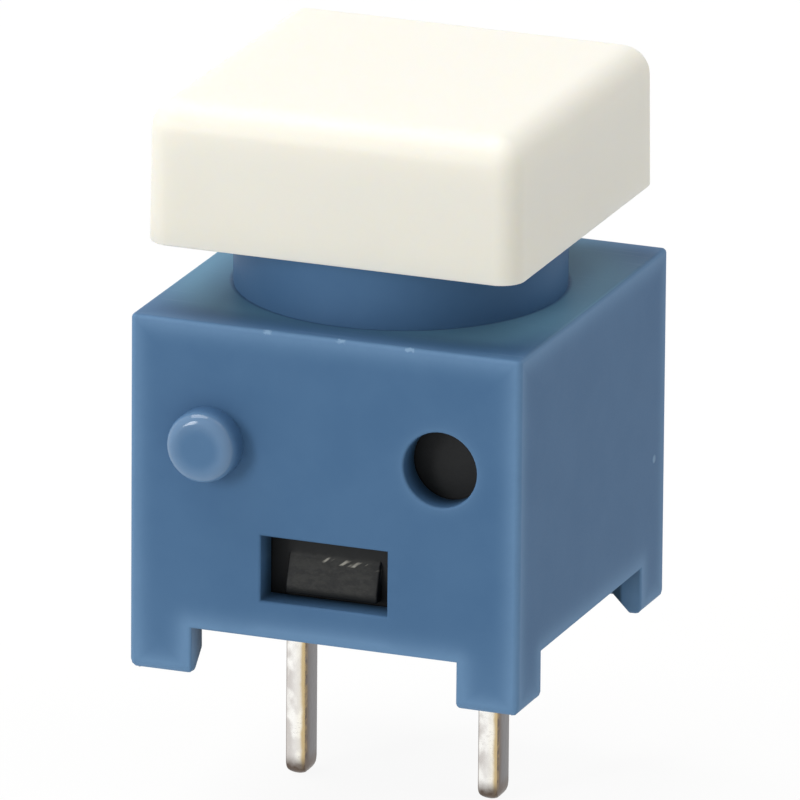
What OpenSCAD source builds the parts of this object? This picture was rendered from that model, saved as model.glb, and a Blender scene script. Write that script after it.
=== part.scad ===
// Momentary pushbutton switch for a circuit board, in millimetres.
// The origin is the centre of the square body, on the board's surface under the feet.
// +Z points up to the key cap, and the front face with its window looks along -Y.
// The key is drawn at rest. Pressing it moves the cap, plunger and contact blade down.

/* [Housing] */
// Width and depth of the square body
body_w = 10.16; // [9.2:0.01:13]
// Height of the roof above the board
body_h = 9.06; // [8.9:0.01:11]
// Thickness of the side walls
wall = 0.8; // [0.7:0.05:0.9]
// Thickness of the roof
roof_t = 0.9; // [0.7:0.05:1.1]
// Radius of the four upright edges
edge_r = 0.15; // [0.05:0.05:0.3]
// Thickness of the round collar on the roof
collar_wall = 0.95; // [0.6:0.05:1]
// Height of the collar above the roof
collar_h = 1.95; // [1.8:0.05:2.1]

/* [Feet] */
// Height of the feet, which stand on the board
foot_h = 1.2; // [0.8:0.1:1.5]
// Length of a foot along each wall, from the corner
foot_l = 1.62; // [1.2:0.02:2.4]
// Width and height of the bevel inside each foot
foot_bevel = 0.5; // [0.2:0.05:0.6]

/* [Window] */
// Width of the snap window in the front and back walls
window_w = 3.3; // [2.8:0.1:4.4]
// Height of the window
window_h = 1.65; // [1.3:0.05:2]
// Height of the window's lower edge above the board
window_z = 2.15; // [1.8:0.05:2.4]

/* [Stacking peg and hole] */
// Distance of the peg and of the hole from the body's upright edge
stack_inset = 2.08; // [1.9:0.02:2.6]
// Depth of their centres below the roof
stack_drop = 3.01; // [2.2:0.01:3.6]
// Diameter of the peg
stack_peg_d = 1.8; // [1.2:0.1:2.2]
// How far the peg stands out of the wall
stack_peg_l = 0.75; // [0.6:0.05:0.8]
// Radius of the peg's rim
stack_peg_r = 0.3; // [0.1:0.05:0.4]
// Clearance between a peg and a neighbour's hole, on the radius
stack_gap = 0.05; // [0.02:0.01:0.1]

/* [Base] */
// Clearance between the base and the housing
base_gap = 0.05; // [0.03:0.01:0.1]
// Thickness of the base's side walls
base_wall = 0.7; // [0.5:0.05:0.8]
// Thickness of the base's floor
floor_t = 1; // [0.8:0.05:1.2]
// How far the floor lies above the housing's lower edge
floor_recess = 0.1; // [0:0.05:0.3]
// Radius of the base's upright edges
base_edge_r = 0.3; // [0.1:0.05:0.5]
// Width of the snap nose in the window
nose_w = 2.4; // [1.6:0.1:2.6]
// Height of the snap nose
nose_h = 0.9; // [0.6:0.05:1]
// How far the nose stands out at its lower edge
nose_out = 0.32; // [0.2:0.02:0.5]
// How far the nose stands out at its upper edge
nose_tip = 0.1; // [0.04:0.02:0.16]
// Clearance between the nose and the window's lower edge
nose_gap = 0.1; // [0.05:0.01:0.2]

/* [Key cap] */
// How far each side of the cap's rim stands in from the body
cap_inset = 0.23; // [0:0.01:0.3]
// Height of the cap
cap_h = 3.6; // [3.2:0.05:4.5]
// How much each side leans in from the rim to the top
cap_draft = 0.07; // [0:0.01:0.2]
// Thickness of the cap's sides
cap_wall = 0.55; // [0.45:0.05:0.6]
// Thickness of the cap's top
cap_roof = 1; // [0.7:0.05:1.2]
// Radius of the cap's top edge
cap_edge_r = 0.8; // [0.4:0.05:1]
// Radius of the cap's upright edges at the rim
cap_corner_r = 0.6; // [0.5:0.05:1]
// Gap between the roof and the cap's rim at rest
cap_gap = 1.74; // [1.6:0.02:2]
// Thickness of the boss inside the cap that grips the plunger
boss_wall = 0.8; // [0.6:0.05:1]

/* [Plunger] */
// How far the key travels
travel = 1.3; // [1:0.05:1.4]
// Clearance of the stem in the collar, on the radius
slide_gap = 0.05; // [0.02:0.01:0.1]
// How far the stem reaches past the corners of the square key on its top
key_ledge = 0.27; // [0.1:0.01:0.6]
// Clearance between that key and the cap's socket
key_gap = 0.03; // [0.01:0.01:0.06]
// Thickness of the flange that stops under the roof
flange_t = 0.8; // [0.6:0.05:0.9]
// How far the flange reaches past the stem on each side
stop_ledge = 0.35; // [0.25:0.01:0.5]
// Clearance between the flange and the base's walls
flange_gap = 0.08; // [0.04:0.01:0.15]
// Clearance between the post that carries the contact blade and the terminals
post_gap = 0.19; // [0.1:0.01:0.3]
// Thickness of the web between the blade and the return spring
web_t = 0.4; // [0.3:0.05:0.6]
// Depth of the return spring's seat in the post
seat_depth = 0.6; // [0.3:0.05:0.8]
// Thickness of the post around that seat
seat_wall = 0.7; // [0.5:0.05:0.8]
// Clearance between parts that rest on each other
rest_gap = 0.02; // [0.01:0.01:0.04]

/* [Terminals] */
// Distance from the middle of a terminal to the base's inner wall
pin_inset = 0.99; // [0.8:0.01:1.1]
// Thickness of the terminal strip
pin_t = 0.5; // [0.4:0.05:0.55]
// Width of the terminal strip
pin_w = 0.85; // [0.7:0.05:1]
// Length of the tails below the board's surface
pin_l = 3.95; // [2.5:0.05:5]
// Radius of the tail's rounded tip
pin_tip_r = 0.2; // [0.05:0.05:0.2]
// Clearance of the tails in the floor
pin_gap = 0.02; // [0.01:0.01:0.04]
// Depth of the contact pads below the roof's underside
pad_drop = 3.76; // [3.7:0.01:4]
// Clearance between the pads and the base's walls
pad_gap = 0.08; // [0.04:0.01:0.12]
// Width of the pillar under each pad
pillar_w = 1.3; // [0.9:0.1:2]

/* [Contacts] */
// Travel of the blade before the contacts meet
contact_gap = 0.88; // [0.7:0.02:0.9]
// Diameter of the contact rivets' heads
rivet_d = 0.8; // [0.6:0.05:0.8]
// Height of the contact rivets' heads
rivet_h = 0.2; // [0.12:0.02:0.24]
// Diameter of the contact rivets' shanks
shank_d = 0.36; // [0.3:0.02:0.42]
// Clearance around the shanks, on the radius
shank_gap = 0.02; // [0.01:0.01:0.04]
// Thickness of the contact blade
blade_t = 0.25; // [0.2:0.01:0.3]
// Width of the contact blade
blade_w = 1.6; // [1.2:0.05:1.7]
// Clearance between the blade's sides and the post
blade_gap = 0.1; // [0.05:0.01:0.15]
// Clearance between the blade's ends and the base's walls
blade_end_gap = 0.2; // [0.1:0.02:0.24]

/* [Springs] */
// Wire diameter of the return spring
return_wire = 0.25; // [0.2:0.01:0.28]
// Distance between the open turns of the return spring
return_pitch = 0.6; // [0.5:0.05:0.8]
// Outer diameter of the contact spring
contact_d = 1.5; // [1.4:0.05:1.6]
// Wire diameter of the contact spring
contact_wire = 0.16; // [0.12:0.01:0.17]
// Distance between the open turns of the contact spring
contact_pitch = 0.31; // [0.28:0.01:0.4]
// Clearance between a spring and what centres it, on the radius
spring_gap = 0.1; // [0.05:0.01:0.14]
// Height of the pegs that centre the springs
spring_peg_h = 0.7; // [0.3:0.05:0.8]

/* [Hidden] */
$fn = 64;
// Overshoot of a cutting shape past the face that it opens
cut = 1;
// Facets round the key cap's edges
cap_fn = 32;
// Sides of a spring's wire, and rings to a turn
wire_sides = 8;
turn_rings = 18;
// Turns that lie closed at each end of a spring, and their pitch as a multiple of the wire
closed_turns = 0.75;
closed_pitch = 1.04;
// Diameter, depth and distance from the middle of the ejector marks under the floor
mark_d = 1.2;
mark_depth = 0.08;
mark_y = 2.6;

// Widths, from the outside in
cavity_w = body_w - 2 * wall;
base_w = cavity_w - 2 * base_gap;
base_in = base_w - 2 * base_wall;
flange_w = base_in - 2 * flange_gap;
stem_d = flange_w - 2 * stop_ledge;
bore_d = stem_d + 2 * slide_gap;
collar_d = bore_d + 2 * collar_wall;
cap_w = body_w - 2 * cap_inset;
cap_in = cap_w - 2 * cap_wall;
key_w = (stem_d - 2 * key_ledge) / sqrt(2);
socket_w = key_w + 2 * key_gap;
boss_w = socket_w + 2 * boss_wall;

// Housing
roof_z = body_h - roof_t;
collar_top = body_h + collar_h;
stack_x = body_w / 2 - stack_inset;
stack_z = body_h - stack_drop;
stack_hole_d = stack_peg_d + 2 * stack_gap;

// Base
base_z = foot_h + floor_recess;
floor_z = base_z + floor_t;
base_top = roof_z - base_gap;
nose_z = window_z + nose_gap;

// Terminals and contacts
pin_x = base_in / 2 - pin_inset;
pin_in = pin_x - pin_t / 2;
pad_end = base_in / 2 - pad_gap;
pad_top = roof_z - pad_drop;
pad_z = pad_top - pin_t;
contact_x = (pin_in + pad_end) / 2;
blade_z = pad_top + 2 * rivet_h + contact_gap;
blade_l = base_in - 2 * blade_end_gap;
slot_w = blade_w + 2 * blade_gap;

// Plunger
flange_top = roof_z - rest_gap;
flange_z = flange_top - flange_t;
web_z = blade_z - web_t;
post_z = web_z - seat_depth;
post_d = 2 * (pin_in - post_gap);
seat_d = post_d - 2 * seat_wall;
shoulder_z = collar_top + travel + slide_gap;

// Key cap
cap_z = body_h + cap_gap;
cap_roof_z = cap_z + cap_h - cap_roof;
key_top = cap_roof_z - rest_gap;

// Springs
return_d = seat_d - 2 * spring_gap;
return_low = floor_z + rest_gap;
return_high = web_z - rest_gap;
contact_low = blade_z + blade_t + rest_gap;
contact_high = flange_z - rest_gap;

// A square with round corners, centred
module round_square(w, r) {
    square([w, w - 2 * r], center = true);
    square([w - 2 * r, w], center = true);
    for (sx = [-1, 1], sy = [-1, 1]) translate([sx * (w / 2 - r), sy * (w / 2 - r)]) circle(r = r);
}

// Repeats its children on the front and on the back
module front_and_back() {
    for (turn = [0, 180]) rotate(turn) children();
}

// Housing: one moulding with its feet, collar and stacking pegs
module housing() {
    color("steelblue") difference() {
        union() {
            linear_extrude(body_h) round_square(body_w, edge_r);
            translate([0, 0, roof_z]) cylinder(d = collar_d, h = collar_top - roof_z);
            front_and_back() stack_peg();
        }
        translate([0, 0, -cut]) linear_extrude(roof_z + cut) square(cavity_w, center = true);
        translate([0, 0, roof_z - cut]) cylinder(d = bore_d, h = collar_top - roof_z + 2 * cut);
        for (turn = [0, 90]) rotate(turn) foot_span();
        foot_bevel_cut();
        front_and_back() {
            window();
            stack_hole();
        }
    }
}

// The open stretch between two feet, cut along Y through both walls
module foot_span() {
    span = body_w - 2 * foot_l;
    translate([-span / 2, -body_w / 2 - cut, -cut]) cube([span, body_w + 2 * cut, foot_h + cut]);
}

// The lead-in bevel inside the feet: two crossed wedges, which mitre in the corners
module foot_bevel_cut() {
    intersection() {
        rotate([90, 0, 0]) bevel_wedge();
        rotate([90, 0, 90]) bevel_wedge();
    }
}

// A block that widens downwards to both sides of the cavity
module bevel_wedge() {
    inner = cavity_w / 2;
    outer = inner + foot_bevel;
    linear_extrude(body_w + 2 * cut, center = true) polygon([
        [-outer, -cut], [outer, -cut], [outer, 0], [inner, foot_bevel], [-inner, foot_bevel], [-outer, 0]]);
}

module window() {
    translate([-window_w / 2, -body_w / 2 - cut, window_z]) cube([window_w, wall + 2 * cut, window_h]);
}

// Round peg with a softened rim, which starts inside the wall
module stack_peg() {
    r = stack_peg_d / 2;
    length = stack_peg_l + wall / 2;
    translate([-stack_x, -body_w / 2 + wall / 2, stack_z]) rotate([90, 0, 0]) rotate_extrude() {
        square([r, length - stack_peg_r]);
        square([r - stack_peg_r, length]);
        translate([r - stack_peg_r, length - stack_peg_r]) circle(r = stack_peg_r);
    }
}

module stack_hole() {
    translate([stack_x, -body_w / 2 - cut, stack_z]) rotate([-90, 0, 0])
        cylinder(d = stack_hole_d, h = wall + 2 * cut);
}

// Base: a square cup that snaps into the housing from below
module base() {
    color([0.1, 0.1, 0.11]) {
        difference() {
            union() {
                translate([0, 0, base_z]) linear_extrude(base_top - base_z) round_square(base_w, base_edge_r);
                front_and_back() snap_nose();
            }
            translate([0, 0, floor_z]) linear_extrude(base_top - floor_z + cut) square(base_in, center = true);
            for (side = [-1, 1]) translate([side * pin_x, 0, base_z]) pin_slot();
            front_and_back() translate([0, mark_y, base_z - cut]) cylinder(d = mark_d, h = mark_depth + cut);
        }
        translate([0, 0, floor_z - floor_t / 2])
            cylinder(d = return_d - 2 * (return_wire + spring_gap), h = floor_t / 2 + spring_peg_h);
        for (side = [0, 180]) rotate(side) pillar();
    }
}

// Wedge that catches the window's lower edge
module snap_nose() {
    face = base_w / 2;
    root = face - base_wall / 2;
    foot = nose_z + nose_h / 4;
    top = nose_z + nose_h;
    rotate([90, 0, -90]) linear_extrude(nose_w, center = true) polygon([
        [root, nose_z], [face + nose_out, nose_z], [face + nose_out, foot],
        [face + nose_tip, top], [face, top + nose_tip], [root, top + nose_tip]]);
}

module pin_slot() {
    w = pin_w + 2 * pin_gap;
    t = pin_t + 2 * pin_gap;
    translate([-t / 2, -w / 2, -cut]) cube([t, w, floor_t + 2 * cut]);
}

// Pillar that carries the right terminal's pad, joined to the floor and the wall
module pillar() {
    x = pin_x + pin_t / 2 + pin_gap;
    translate([x, -pillar_w / 2, floor_z - floor_t / 2])
        cube([base_in / 2 + base_wall / 2 - x, pillar_w, pad_z - floor_z + floor_t / 2]);
}

// Key cap: a square shell that leans in and has round edges, with a socket inside
module keycap() {
    color("ivory") translate([0, 0, cap_z]) {
        difference() {
            cap_block();
            translate([0, 0, -cut]) linear_extrude(cap_h - cap_roof + cut)
                round_square(cap_in, cap_corner_r - cap_wall + slide_gap);
        }
        translate([0, 0, shoulder_z - cap_z]) difference() {
            linear_extrude(cap_roof_z - shoulder_z + cap_roof / 2) round_square(boss_w, cap_corner_r);
            translate([0, 0, -cut]) linear_extrude(cap_roof_z - shoulder_z + cut) square(socket_w, center = true);
        }
    }
}

module cap_block() {
    low = cap_w / 2 - cap_corner_r;
    high = cap_w / 2 - cap_draft - cap_edge_r;
    hull() {
        for (sx = [-1, 1], sy = [-1, 1]) {
            translate([sx * low, sy * low, 0]) cylinder(r = cap_corner_r, h = cap_wall / 10, $fn = cap_fn);
            translate([sx * high, sy * high, cap_h - cap_edge_r]) sphere(r = cap_edge_r, $fn = cap_fn);
        }
    }
}

// Plunger: a round stem with a stop flange, and a slotted post below it
module plunger() {
    color("gainsboro") {
        difference() {
            union() {
                translate([0, 0, flange_z]) cylinder(d = stem_d, h = shoulder_z - flange_z);
                translate([0, 0, shoulder_z - flange_t]) linear_extrude(key_top - shoulder_z + flange_t)
                    square(key_w, center = true);
                translate([0, 0, flange_z]) linear_extrude(flange_t) round_square(flange_w, base_edge_r);
                translate([0, 0, post_z]) cylinder(d = post_d, h = flange_z - post_z + flange_t / 2);
            }
            translate([-post_d, -slot_w / 2, blade_z]) cube([2 * post_d, slot_w, flange_z - blade_z]);
            translate([0, 0, post_z - cut]) cylinder(d = seat_d, h = seat_depth + cut);
        }
        translate([0, 0, flange_z - spring_peg_h / 2])
            cylinder(d = contact_d - 2 * (contact_wire + spring_gap), h = spring_peg_h / 2 + flange_t / 2);
    }
}

// Contact blade: a flat strip with a riveted contact at each end
module contact_bridge() {
    color("darkkhaki") translate([0, 0, blade_z]) linear_extrude(blade_t) difference() {
        square([blade_l, blade_w], center = true);
        for (side = [-1, 1]) translate([side * contact_x, 0]) circle(d = shank_d + 2 * shank_gap);
    }
}

// Contact rivet: a head on the contact side of a sheet, and a shank that ends flush behind it
module rivet(sheet_t) {
    bevel = rivet_h / 3;
    color("silver") {
        cylinder(d = rivet_d, h = rivet_h - bevel);
        translate([0, 0, rivet_h - bevel]) cylinder(d1 = rivet_d, d2 = rivet_d - 2 * bevel, h = bevel);
        translate([0, 0, -sheet_t]) cylinder(d = shank_d, h = sheet_t + rivet_h / 2);
    }
}

// A rivet in the underside of the blade, on one side of the middle
module moving_contact(side) {
    translate([side * contact_x, 0, blade_z]) mirror([0, 0, 1]) rivet(blade_t);
}

// A rivet on top of a terminal's pad
module fixed_contact(side) {
    translate([side * contact_x, 0, pad_top]) rivet(pin_t);
}

// A strip that ends below in two round corners
module tipped_strip(w, low, high) {
    translate([-w / 2, low + pin_tip_r]) square([w, high - low - pin_tip_r]);
    translate([pin_tip_r - w / 2, low]) square([w - 2 * pin_tip_r, 2 * pin_tip_r]);
    for (side = [-1, 1]) translate([side * (w / 2 - pin_tip_r), low + pin_tip_r]) circle(r = pin_tip_r);
}

// Right terminal: a tail through the floor, bent outwards into a pad
module terminal() {
    color("lightgray") difference() {
        intersection() {
            rotate([90, 0, 0]) linear_extrude(pin_w + 2 * cut, center = true) {
                translate([pin_x, 0]) tipped_strip(pin_t, -pin_l, pad_top - pin_t / 2);
                translate([pin_in + pin_t / 2, pad_z]) square([pad_end - pin_in - pin_t / 2, pin_t]);
                translate([pin_in + pin_t / 2, pad_top - pin_t / 2]) circle(d = pin_t);
            }
            rotate([90, 0, 90]) linear_extrude(body_w) tipped_strip(pin_w, -pin_l, pad_top + cut);
        }
        translate([contact_x, 0, pad_z - cut]) cylinder(d = shank_d + 2 * shank_gap, h = pin_t + 2 * cut);
    }
}

// Turns of a coil spring of a given height, with its end turns closed
function coil_turns(height, wire, pitch) =
    2 * closed_turns + (height - wire - 2 * closed_turns * closed_pitch * wire) / pitch;

// Height of a spring's wire after a number of turns
function coil_height(turn, turns, height, wire) =
    let (rise = closed_pitch * wire, open = height - wire - 2 * closed_turns * rise)
    turn < closed_turns ? wire / 2 + turn * rise :
    turn > turns - closed_turns ? height - wire / 2 - (turns - turn) * rise :
    wire / 2 + closed_turns * rise + open * (turn - closed_turns) / (turns - 2 * closed_turns);

// Points of one ring of the wire, around the coil's centre line
function wire_ring(turn, z, d, wire) =
    [for (k = [0:wire_sides - 1]) let (
        side = 360 * (k + 0.5) / wire_sides,
        reach = d / 2 - wire / 2 + wire / 2 * cos(side))
        [reach * cos(360 * turn), reach * sin(360 * turn), z + wire / 2 * sin(side)]];

// Coil spring from one height to another, swept as rings along its helix
module coil_spring(d, low, high, wire, pitch) {
    height = high - low;
    turns = coil_turns(height, wire, pitch);
    rings = ceil(turns * turn_rings);
    points = [for (i = [0:rings]) let (turn = i * turns / rings)
        each wire_ring(turn, low + coil_height(turn, turns, height, wire), d, wire)];
    sides = [for (i = [0:rings - 1], k = [0:wire_sides - 1]) let (
        a = i * wire_sides + k,
        b = i * wire_sides + (k + 1) % wire_sides)
        each [[a, b, b + wire_sides], [a, b + wire_sides, a + wire_sides]]];
    start = [for (k = [0:wire_sides - 1]) wire_sides - 1 - k];
    end = [for (k = [0:wire_sides - 1]) rings * wire_sides + k];
    polyhedron(points, concat(sides, [start, end]));
}

module return_spring() {
    color("gray") coil_spring(return_d, return_low, return_high, return_wire, return_pitch);
}

module contact_spring() {
    color("gray") coil_spring(contact_d, contact_low, contact_high, contact_wire, contact_pitch);
}

housing();
base();
keycap();
plunger();
contact_bridge();
moving_contact(-1);  // moving_contact_left
moving_contact(1);  // moving_contact_right
fixed_contact(-1);  // fixed_contact_left
fixed_contact(1);  // fixed_contact_right
mirror([1, 0, 0]) terminal();  // terminal_left
terminal();  // terminal_right
return_spring();
contact_spring();
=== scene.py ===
"""Dresses the momentary pushbutton switch: finer meshes, moulded and plated finishes, lights and camera.

Lengths are in metres. The origin is the middle of the square body on the board's surface, +Z points up
to the key cap, and the front face with its window looks along -Y.
"""

import logging
import math
from collections.abc import Callable, Iterable, Sequence
from dataclasses import dataclass, field
from enum import Enum

import bmesh
import bpy
from mathutils import Matrix, Vector


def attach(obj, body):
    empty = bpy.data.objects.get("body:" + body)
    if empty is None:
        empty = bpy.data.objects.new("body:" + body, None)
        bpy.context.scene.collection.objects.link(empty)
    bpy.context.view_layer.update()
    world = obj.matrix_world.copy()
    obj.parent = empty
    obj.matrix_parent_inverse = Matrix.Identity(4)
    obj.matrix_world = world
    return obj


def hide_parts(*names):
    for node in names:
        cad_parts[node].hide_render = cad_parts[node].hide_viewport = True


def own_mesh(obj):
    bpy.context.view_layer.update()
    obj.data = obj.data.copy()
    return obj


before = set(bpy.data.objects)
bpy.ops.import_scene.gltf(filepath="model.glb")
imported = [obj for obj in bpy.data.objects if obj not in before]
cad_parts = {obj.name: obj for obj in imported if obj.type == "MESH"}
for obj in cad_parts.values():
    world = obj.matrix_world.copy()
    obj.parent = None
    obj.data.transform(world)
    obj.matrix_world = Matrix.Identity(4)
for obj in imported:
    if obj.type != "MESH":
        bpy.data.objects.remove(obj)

LOG = logging.getLogger("pushbutton")
MM = 0.001
SHARP_ANGLE = math.radians(34)
CREASE = math.radians(50)
WIRE_CREASE = math.radians(60)

Colour = tuple[float, float, float]


class Body(Enum):
    """The CAD bodies that a piece can ride on."""

    FRAME = "frame"
    BUTTON = "button"
    BRIDGE = "bridge"


class Slot(Enum):
    """The record's material slots."""

    HOUSING = "housing_blue"
    BASE = "base_black"
    CAP = "cap_ivory"
    PLUNGER = "plunger_natural"
    BLADE = "blade_brass"
    CONTACT = "contact_silver"
    TERMINAL = "terminal_tinned"
    SPRING = "spring_steel"


class Number:
    """A number socket that takes part in Python arithmetic: each operator adds its Math node."""

    def __init__(self, bench: "Bench", socket: bpy.types.NodeSocket) -> None:
        """Keeps the socket and the node tree that it belongs to."""
        self.bench = bench
        self.socket = socket

    def __add__(self, other: "Number | float") -> "Number":
        """Sum."""
        return self.bench.maths("ADD", self, other)

    def __sub__(self, other: "Number | float") -> "Number":
        """Difference."""
        return self.bench.maths("SUBTRACT", self, other)

    def __rsub__(self, other: float) -> "Number":
        """Difference from a plain number."""
        return self.bench.maths("SUBTRACT", other, self)

    def __mul__(self, other: "Number | float") -> "Number":
        """Product."""
        return self.bench.maths("MULTIPLY", self, other)

    def __truediv__(self, other: "Number | float") -> "Number":
        """Quotient."""
        return self.bench.maths("DIVIDE", self, other)

    def __abs__(self) -> "Number":
        """Size without its sign."""
        return self.bench.maths("ABSOLUTE", self)

    __radd__ = __add__
    __rmul__ = __mul__


class Bench:
    """A node tree under construction, with one method that makes every node."""

    def __init__(self, tree: bpy.types.NodeTree) -> None:
        """Starts on a tree, which is emptied first."""
        self.tree = tree
        tree.nodes.clear()

    def node(self, kind: str, settings: dict | None = None, sockets: dict | None = None) -> bpy.types.Node:
        """Makes one node.

        Args:
            kind: The node's type.
            settings: Its properties, such as a Math node's operation.
            sockets: Values or links of its input sockets, by name or number.

        Returns:
            The node.
        """
        made = self.tree.nodes.new(kind)
        for name, value in (settings or {}).items():
            setattr(made, name, value)
        for key, value in (sockets or {}).items():
            if isinstance(value, Number):
                value = value.socket
            if isinstance(value, bpy.types.NodeSocket):
                self.tree.links.new(value, made.inputs[key])
            else:
                made.inputs[key].default_value = value
        return made

    def maths(self, operation: str, *values: "Number | float", clamp: bool = False) -> Number:
        """Adds a Math node.

        Args:
            operation: The node's operation.
            *values: What goes into it, in order.
            clamp: Whether the result is kept from 0 to 1.

        Returns:
            The result.
        """
        settings = {"operation": operation, "use_clamp": clamp}
        return Number(self, self.node("ShaderNodeMath", settings, dict(enumerate(values))).outputs[0])

    def larger(self, a: "Number | float", b: "Number | float") -> Number:
        """The larger of two numbers."""
        return self.maths("MAXIMUM", a, b)

    def smaller(self, a: "Number | float", b: "Number | float") -> Number:
        """The smaller of two numbers."""
        return self.maths("MINIMUM", a, b)

    def rise(self, value: Number, low: float, high: float) -> Number:
        """A soft step from 0 to 1 while the value goes from low to high; a fall with high below low."""
        fall = high < low
        sockets = {"Value": value, "From Min": min(low, high), "From Max": max(low, high),
                   "To Min": float(fall), "To Max": float(not fall)}
        made = self.node("ShaderNodeMapRange", {"interpolation_type": "SMOOTHSTEP"}, sockets)
        return Number(self, made.outputs["Result"])


class Paint(Bench):
    """A material under construction, on the piece's own coordinates."""

    def __init__(self, name: str) -> None:
        """Makes the material with its surface shader and its coordinates."""
        self.material = bpy.data.materials.new(name)
        self.material.use_nodes = True
        super().__init__(self.material.node_tree)
        self.shader = self.node("ShaderNodeBsdfPrincipled")
        self.node("ShaderNodeOutputMaterial", sockets={"Surface": self.shader.outputs[0]})
        self.place = self.node("ShaderNodeTexCoord").outputs["Object"]
        split = self.node("ShaderNodeSeparateXYZ", sockets={0: self.place})
        self.x, self.y, self.z = (Number(self, axis) for axis in split.outputs)

    def set(self, **sockets: object) -> None:
        """Sets or links sockets of the surface shader; a name's underscores stand for spaces."""
        for name, value in sockets.items():
            target = self.shader.inputs[name.replace("_", " ")]
            if isinstance(value, Number):
                value = value.socket
            if isinstance(value, bpy.types.NodeSocket):
                self.tree.links.new(value, target)
            else:
                target.default_value = (*value, 1.0) if target.type == "RGBA" else value

    def scaled(self, stretch: Colour) -> bpy.types.NodeSocket:
        """The place with each axis stretched, for patterns that run one way."""
        sockets = {0: self.place, 1: tuple(1 / s for s in stretch)}
        return self.node("ShaderNodeVectorMath", {"operation": "MULTIPLY"}, sockets).outputs[0]

    def noise(self, grain: float, detail: float = 2.0, rough: float = 0.5,
              stretch: Colour = (1, 1, 1)) -> Number:
        """Cloudy noise from 0 to 1, with lumps of about the given size in metres."""
        sockets = {"Vector": self.scaled(stretch), "Scale": 1 / grain, "Detail": detail, "Roughness": rough}
        return Number(self, self.node("ShaderNodeTexNoise", sockets=sockets).outputs["Fac"])

    def between(self, share: "Number | float", a: object, b: object) -> bpy.types.NodeSocket:
        """A colour that goes from a to b as the share goes from 0 to 1."""
        first, second = ((*value, 1.0) if isinstance(value, tuple) else value for value in (a, b))
        return self.node("ShaderNodeMix", {"data_type": "RGBA"}, {0: share, 6: first, 7: second}).outputs[2]

    def bump(self, height: Number, depth: float, strength: float = 1.0) -> None:
        """Roughens the surface: a height from 0 to 1 stands for the depth in metres."""
        sockets = {"Strength": strength, "Distance": depth, "Height": height}
        self.set(Normal=self.node("ShaderNodeBump", sockets=sockets).outputs[0])

    def fade(self, distance: Number, reach: float) -> Number:
        """1 at no distance, fading to about a third at the given reach and to nothing far away."""
        return self.maths("EXPONENT", distance * (-1 / reach))

    def second_least(self, a: Number, b: Number, c: Number) -> Number:
        """The middle one of three numbers: on a box's face, the distance to its nearest edge."""
        return self.larger(self.smaller(a, b), self.smaller(self.larger(a, b), c))


class Jig(Bench):
    """A Geometry Nodes tree under construction, with named inputs for its sizes."""

    def __init__(self, name: str) -> None:
        """Starts an empty tree."""
        super().__init__(bpy.data.node_groups.new(name, "GeometryNodeTree"))
        self.values: dict[str, object] = {}

    def inputs(self, **values: object) -> list:
        """Gives the tree its named inputs.

        Args:
            **values: A name and its value for each: a number, a whole number, or an object.

        Returns:
            The inputs inside the tree, numbers as Number and objects as sockets.
        """
        for name, value in values.items():
            kind = {float: "NodeSocketFloat", int: "NodeSocketInt"}.get(type(value), "NodeSocketObject")
            made = self.tree.interface.new_socket(name=name.replace("_", " "), in_out="INPUT",
                                                  socket_type=kind)
            self.values[made.identifier] = value
        entry = self.node("NodeGroupInput")
        found = [out for out in entry.outputs if out.identifier in self.values]
        return [Number(self, out) if out.type != "OBJECT" else out for out in found]

    def point(self, x: "Number | float", y: "Number | float", z: "Number | float") -> bpy.types.NodeSocket:
        """A vector from three numbers."""
        return self.node("ShaderNodeCombineXYZ", sockets={0: x, 1: y, 2: z}).outputs[0]

    def mesh(self, geometry: bpy.types.NodeSocket, material: bpy.types.Material) -> bpy.types.Mesh:
        """Ends the tree, runs it with its values and returns the plain mesh.

        Args:
            geometry: What the tree makes.
            material: The material that it gets.

        Returns:
            The mesh.
        """
        real = self.node("GeometryNodeRealizeInstances", sockets={0: geometry}).outputs[0]
        smooth = self.node("GeometryNodeSetShadeSmooth", sockets={0: real}).outputs[0]
        coated = self.node("GeometryNodeSetMaterial", sockets={0: smooth, "Material": material}).outputs[0]
        self.tree.interface.new_socket(name="Geometry", in_out="OUTPUT", socket_type="NodeSocketGeometry")
        self.node("NodeGroupOutput", sockets={0: coated})
        holder = bpy.data.objects.new(self.tree.name, bpy.data.meshes.new(self.tree.name))
        bpy.context.scene.collection.objects.link(holder)
        modifier = holder.modifiers.new("jig", "NODES")
        modifier.node_group = self.tree
        for identifier, value in self.values.items():
            modifier[identifier] = value
        return evaluated_mesh(holder)


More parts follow.
